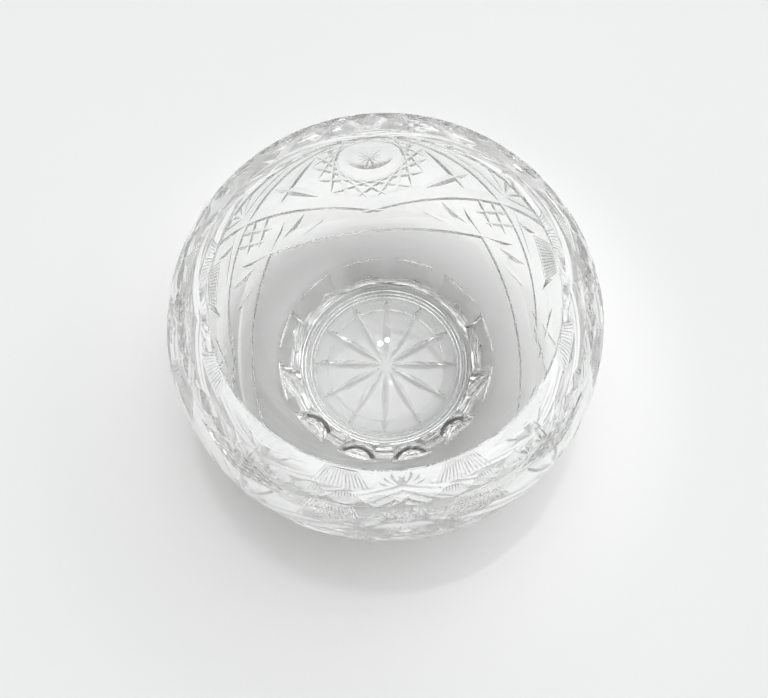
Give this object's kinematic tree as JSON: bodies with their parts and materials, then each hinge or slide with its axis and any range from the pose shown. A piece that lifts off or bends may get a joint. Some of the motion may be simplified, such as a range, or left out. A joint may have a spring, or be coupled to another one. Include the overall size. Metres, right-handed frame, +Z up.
{
  "type": "cut crystal rose bowl",
  "caption": "Round clear cut-glass bowl vase with a wide mouth, scalloped rim, panels of star and diamond cutting, and a low scalloped foot with a star cut beneath.",
  "frame": {"origin": "on the standing plane, under the centre of the foot", "axes": "+Z up along the axis of revolution; +X and +Y across the bowl, each 4 degrees short of the middle of a cut panel"},
  "size_m": [0.16, 0.16, 0.09],
  "materials": {
    "crystal": "polished, colourless, cut"
  },
  "bodies": {
    "root": {"bowl": "crystal", "foot": "crystal"}
  },
  "joints": []
}
